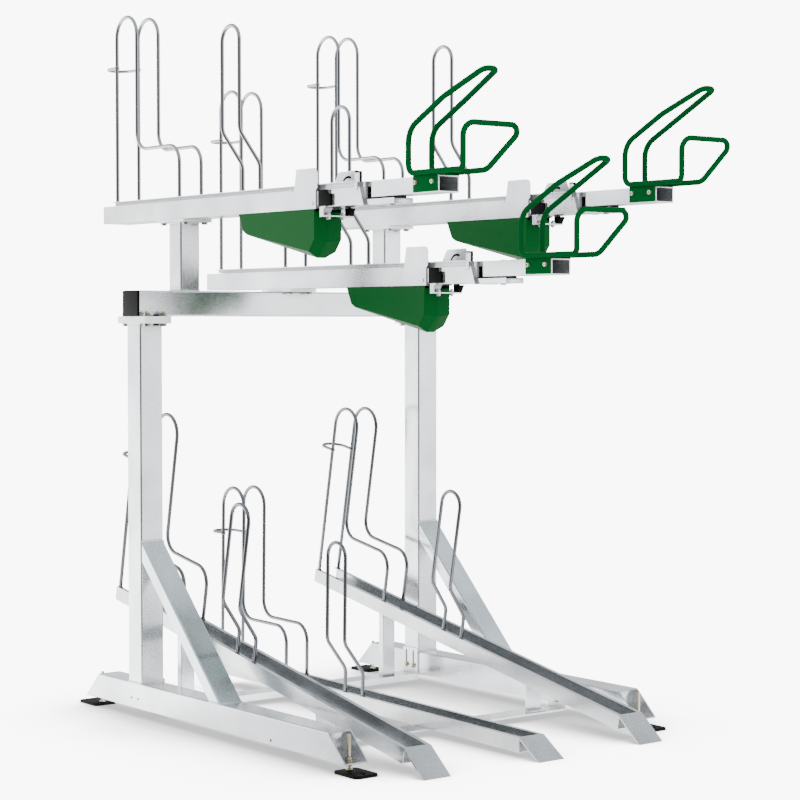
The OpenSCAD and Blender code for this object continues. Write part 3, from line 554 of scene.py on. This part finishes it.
# Wheel hoops, stop hooks and lock loops: 12 mm bright zinc plated rod bent cold and
# welded to each tray: two hoops hold the wheel, a thinner hook joins them behind, and a
# tall loop beside the tray takes a lock. The plating is smoother than dipped zinc.
plated = finish("bright zinc plated rod", "9FA2A5", 0.16, 1.0, 3.0, 0.02, contrast=0.05)
rod_r = 0.006
hook_r = 0.005
tray_lift = 0.070
hoop_rear, hoop_front, hoop_foot = 0.343, 0.218, -0.038
hoop_top, hoop_low = 0.592, 0.162
hook_rear, hook_z = 0.428, 0.434
loop_half, loop_out = 0.046, 0.072
loop_low, loop_mid, loop_top = 0.075, 0.171, 0.480
hoop_bends = [0.0624, 0.0624, 0.056, 0.056]
loop_bend = 0.045
collar_up = 0.0036
hook_weld_r, hook_weld_h = hook_r + 0.003, 0.011


def rod_set(half, loop_at, fillet):
    """The rods of one tray, standing on its top at the tray's own zero, each foot in a fillet."""
    rods = []
    for x in (-half, half):
        rods.append(bend_rod([(x, hoop_rear, 0), (x, hoop_rear, hoop_top), (x, hoop_front, hoop_top),
                              (x, hoop_front, hoop_low), (x, hoop_foot, hoop_low), (x, hoop_foot, 0)],
                             hoop_bends, rod_r))
    rods.append(bend_rod([(-half, hoop_rear, hook_z), (-half, hook_rear, hook_z), (half, hook_rear, hook_z),
                          (half, hoop_rear, hook_z)], [half - 0.0001] * 2, hook_r))
    rear, front = loop_at + loop_half, loop_at - loop_half
    out = -half - loop_out
    rods.append(bend_rod([(-half, rear, 0), (-half, rear, loop_low), (out, rear, loop_mid),
                          (out, rear, loop_top), (out, front, loop_top), (out, front, loop_mid),
                          (-half, front, loop_low), (-half, front, 0)], [loop_bend] * 6, rod_r))
    feet = [(x, y) for x in (-half, half) for y in (hoop_rear, hoop_foot)] + [(-half, rear), (-half, front)]
    for x, y in feet:
        rods.append(turned_disc(rod_r + fillet, collar_up, (x, y, collar_up / 2), sides=16,
                                ease_mm=0.9 * fillet * 1000))
    for x in (-half, half):
        rods.append(turned_disc(hook_weld_r, hook_weld_h, (x, hoop_rear, hook_z), sides=16, ease_mm=2.4))
    return joined(rods)


def placed_copy(piece, matrix):
    """A copy with its own mesh, moved by a matrix."""
    bpy.ops.object.select_all(action="DESELECT")
    piece.select_set(True)
    bpy.context.view_layer.objects.active = piece
    bpy.ops.object.duplicate()
    made = bpy.context.object
    made.data.transform(matrix)
    return made


def tray_place(i):
    """X of the tray's centre and Z of its rail's underside."""
    low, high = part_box(f"rail_{i}")
    return (low[0] + high[0]) / 2, low[2]


upper_set = rod_set(half=0.040, loop_at=-0.442, fillet=0.0006)
for i in (1, 2, 3):
    x, z = tray_place(i)
    rods = placed_copy(upper_set, Matrix.Translation((x, post_y, z + tray_lift)))
    seated(rods, f"rods_{i}_bent", f"tray_body_{i}", plated, "bright_steel", f"rods_{i}")
bpy.data.objects.remove(upper_set)
lower_set = rod_set(half=0.041, loop_at=-0.411, fillet=0.0026)
# The lower rods wear a darker tone of the same plating, which is painted shade.
shaded_plated = finish("zinc plated rod, darker tone", "707376", 0.18, 1.0, 3.0, 0.02, contrast=0.05)
# Each lower tray's own zero: its height above the floor, and the tray's tilt in degrees.
low_places = {1: (0.3009, 10.8), 2: (0.0799, 1.04), 3: (0.3009, 10.8)}
for i, (lift, tilt) in low_places.items():
    tilted = Matrix.Rotation(math.radians(tilt), 4, "X")
    rods = placed_copy(lower_set, Matrix.Translation((tray_place(i)[0], post_y, lift)) @ tilted)
    seated(rods, f"low_rods_{i}_bent", "frame", shaded_plated, "bright_steel", f"low_rods_{i}")
bpy.data.objects.remove(lower_set)

# Upper rails: folded steel channels bolted to the two stubs and the middle seat. The
# upper trays run in them, and a tall ear at each one's near front guards the tilt head.
paint(galvanised, "rail_1", "rail_2", "rail_3")

# Covers: green powder coated sheet steel housings under the rails, round-edged, each
# hiding the gas spring that lifts its tray.
green = finish("green powder coat", "005F24", 0.34, 0.0, 2.2, 0.03, contrast=0.05, shine=0.05)
for i in (1, 2, 3):
    folded = eased(f"cover_{i}", 2.0, angle=12, smooth=12)
    seated(folded, f"cover_{i}_folded", "frame", green, "green_paint", f"cover_{i}")

# Gas springs: a black enamelled cylinder and a hard chromed rod inside each cover. They
# are a guess, as the covers hide them.
enamel = finish("black enamelled tube", "0E0F10", 0.22, 0.0, 3.0, 0.02, shine=0.3)
chrome = finish("hard chromed rod", "D8DADC", 0.10, 1.0, 4.0, 0.005, contrast=0.02)
for i in (1, 2, 3):
    paint(enamel, f"strut_tube_{i}")
    paint(chrome, f"strut_rod_{i}")

# Tilt heads and trays: a folded yoke of galvanised plate on two short pins carries the
# galvanised tray, and black rubber blocks and strips quieten both. The tongue's lid and
# the pads' cut back front depart from the solids, to look as in the picture.
pad_top = 0.022
pad_front = (-1.101, -1.080)
pad_cut_back = -1.020
strip_x, strip_w, strip_h = 0.0325, 0.003, 0.005
strip_front, strip_rear = -1.100, -1.012
tongue_w, tongue_under, tongue_top = 0.0655, 0.0016, 0.0170
tongue_front, tongue_rear = -1.130, -1.010
tongue_t = 0.0024
for i in (1, 2, 3):
    paint(galvanised, f"head_{i}")
    bumper = eased(f"bumper_{i}", 1.2)
    seated(bumper, f"bumper_{i}_moulded", f"head_body_{i}", rubber, "black_rubber", f"bumper_{i}")
    paint(galvanised, f"tray_{i}", f"arm_{i}")
    x, z = tray_place(i)
    pads = eased(f"pads_{i}", 1.0)
    for corner in pads.data.vertices:
        if pad_front[0] < corner.co.y - post_y < pad_front[1] and corner.co.z - z < pad_top + 0.001:
            corner.co.y = post_y + pad_cut_back
    strip_y, strip_z = post_y + (strip_front + strip_rear) / 2, z + pad_top - strip_h / 2
    strip_size = (strip_w, strip_rear - strip_front, strip_h)
    strips = [bar((x + side * strip_x, strip_y, strip_z), strip_size, 0.6) for side in (-1, 1)]
    pads = joined([pads] + strips)
    seated(pads, f"pads_{i}_moulded", f"tray_body_{i}", rubber, "black_rubber", f"pads_{i}")
    lid = bar((x, post_y + (tongue_front + tongue_rear) / 2, z + tongue_top - tongue_t / 2),
              (tongue_w, tongue_rear - tongue_front, tongue_t), 0.4)
    front = bar((x, post_y + tongue_front + tongue_t / 2, z + (tongue_top + tongue_under) / 2),
                (tongue_w, tongue_t, tongue_top - tongue_under), 0.4)
    seated(joined([lid, front]), f"tongue_{i}_lid", f"tray_body_{i}", galvanised, "galvanised_steel")

# Handles: 16 mm steel tube bent into a slanted grip loop and a side stirrup, welded to
# a folded saddle that sits over the beam's end, all powder coated green. Four socket
# screws hold it; a dark disc in each stands in for the shadow in its socket.
tube_r = 0.008
saddle_t = 0.003
arm_low, arm_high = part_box("arm_1")
arm_half = (arm_high[0] - arm_low[0]) / 2
arm_top = 0.067
beam_end = arm_low[1] - post_y
grip_tip = beam_end - 0.174
grip_x = 0.040
grip_z = arm_top + saddle_t + tube_r - 0.001
grip_rear = -1.203
grip_front = -1.435
saddle_rear = -1.219
saddle_front = beam_end + 0.002
saddle_drop = 0.042
saddle_low, saddle_high = arm_top - saddle_drop, arm_top + saddle_t
grip_end, stirrup_end = -1.266, -1.262
grip_bend_y, grip_bend_z = -1.354, 0.271
grip_waist_z = 0.194
grip_tip_x, grip_tip_z = 0.022, 0.334
stirrup_x, stirrup_z = 0.172, 0.200


def grip_tubes():
    """The grip loop and the stirrup of one handle, in its tray's own place."""
    half_grip = [(grip_end, grip_z), (grip_rear, grip_z), (grip_rear, grip_waist_z),
                 (grip_bend_y, grip_bend_z)]
    grip = [(-grip_x, y, z) for y, z in half_grip]
    grip += [(-grip_tip_x, grip_tip, grip_tip_z), (grip_tip_x, grip_tip, grip_tip_z)]
    grip += [(grip_x, y, z) for y, z in reversed(half_grip)]
    stirrup = [(grip_x, stirrup_end, grip_z), (grip_x, grip_front, grip_z),
               (stirrup_x, grip_front, stirrup_z), (-grip_x, grip_front, stirrup_z),
               (-grip_x, grip_front, grip_z), (-grip_x, stirrup_end, grip_z)]
    half_bends = [0.024, 0.060, 0.160, 0.020]
    return [bend_rod(grip, half_bends + half_bends[::-1], tube_r, sides=24, step=7),
            bend_rod(stirrup, [0.016, 0.018, 0.038, 0.016], tube_r, sides=24, step=7)]


def saddle_plate():
    """The folded saddle: a box without its underside and its two ends, given a wall."""
    middle = (0, (saddle_rear + saddle_front) / 2, (saddle_low + saddle_high) / 2)
    size = (2 * (arm_half + saddle_t), saddle_rear - saddle_front, saddle_high - saddle_low)
    bpy.ops.object.select_all(action="DESELECT")
    bpy.ops.mesh.primitive_cube_add(size=1, location=middle, scale=size)
    bpy.ops.object.transform_apply(location=True, rotation=True, scale=True)
    plate = bpy.context.object
    bpy.ops.object.mode_set(mode="EDIT")
    bpy.ops.mesh.select_all(action="DESELECT")
    bpy.ops.mesh.select_mode(type="FACE")
    bpy.ops.object.mode_set(mode="OBJECT")
    for face in plate.data.polygons:
        face.select = abs(face.normal.y) > 0.9 or face.normal.z < -0.9
    bpy.ops.object.mode_set(mode="EDIT")
    bpy.ops.mesh.delete(type="FACE")
    bpy.ops.object.mode_set(mode="OBJECT")
    wall = plate.modifiers.new("sheet", "SOLIDIFY")
    wall.thickness = saddle_t
    wall.offset = -1
    bpy.ops.object.modifier_apply(modifier=wall.name)
    ease = plate.modifiers.new("folded_edges", "BEVEL")
    ease.width = 0.0012
    ease.segments = 2
    ease.limit_method = "ANGLE"
    bpy.ops.object.modifier_apply(modifier=ease.name)
    bpy.ops.object.shade_smooth_by_angle(angle=math.radians(32))
    return plate


cheek = arm_half + saddle_t
screw_r, screw_h, screw_z = 0.0063, 0.005, 0.051
screw_dome, screw_ring, socket_deep = 0.0012, 0.0020, 0.0045


def socket_screw(side, y):
    """A round screw head on the saddle's cheek, with its socket sunk in."""
    bpy.ops.object.select_all(action="DESELECT")
    bpy.ops.mesh.primitive_cylinder_add(vertices=24, radius=screw_r, depth=screw_h, rotation=across,
                                        location=(side * (cheek + screw_h / 2), y, screw_z))
    bpy.ops.object.transform_apply(location=True, rotation=True, scale=True)
    head = bpy.context.object
    bpy.ops.object.mode_set(mode="EDIT")
    bpy.ops.mesh.select_mode(type="FACE")
    bpy.ops.mesh.select_all(action="DESELECT")
    bpy.ops.object.mode_set(mode="OBJECT")
    for face in head.data.polygons:
        face.select = face.normal.x * side > 0.9
    bpy.ops.object.mode_set(mode="EDIT")
    bpy.ops.mesh.inset(thickness=screw_dome)
    bpy.ops.transform.translate(value=(side * screw_dome, 0, 0))
    bpy.ops.mesh.inset(thickness=screw_ring)
    bpy.ops.mesh.extrude_region_move(TRANSFORM_OT_translate={"value": (-side * socket_deep, 0, 0)})
    bpy.ops.object.mode_set(mode="OBJECT")
    bpy.ops.object.shade_smooth_by_angle(angle=math.radians(32))
    return head


# The picture shows the handles a deeper green than the covers.
deep_green = finish("deep green powder coat", "00602A", 0.40, 0.0, 2.2, 0.03, contrast=0.05, shine=0.01)
handle_set = joined(grip_tubes() + [saddle_plate()])
cream_zinc = finish("zinc plated socket screws", "E4DDC4", 0.35, 0.6, 1.2, 0.02)
shade_r, shade_t, shade_out = 0.0033, 0.0012, 0.0045
screw_steps = (0.013, 0.086)
screw_at = [(side, saddle_rear - step) for side in (-1, 1) for step in screw_steps]
screws = joined([socket_screw(side, y) for side, y in screw_at])
shades = [turned_disc(shade_r, shade_t, (side * (cheek + shade_out), y, screw_z), sides=6, ease_mm=0.2,
                      rotation=across) for side, y in screw_at]
socket_shadows = joined(shades)
for i in (1, 2, 3):
    x, z = tray_place(i)
    move = Matrix.Translation((x, post_y, z))
    body = f"tray_body_{i}"
    seated(placed_copy(handle_set, move), f"handle_{i}_bent", body, deep_green, "green_paint", f"handle_{i}")
    seated(placed_copy(screws, move), f"handle_{i}_screws", body, cream_zinc, "zinc_fasteners")
    # The discs are painted shadow in the sockets and borrow the black rubber finish.
    seated(placed_copy(socket_shadows, move), f"handle_{i}_sockets", body, rubber, "zinc_fasteners")
bpy.data.objects.remove(handle_set)
bpy.data.objects.remove(screws)
bpy.data.objects.remove(socket_shadows)

low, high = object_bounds()
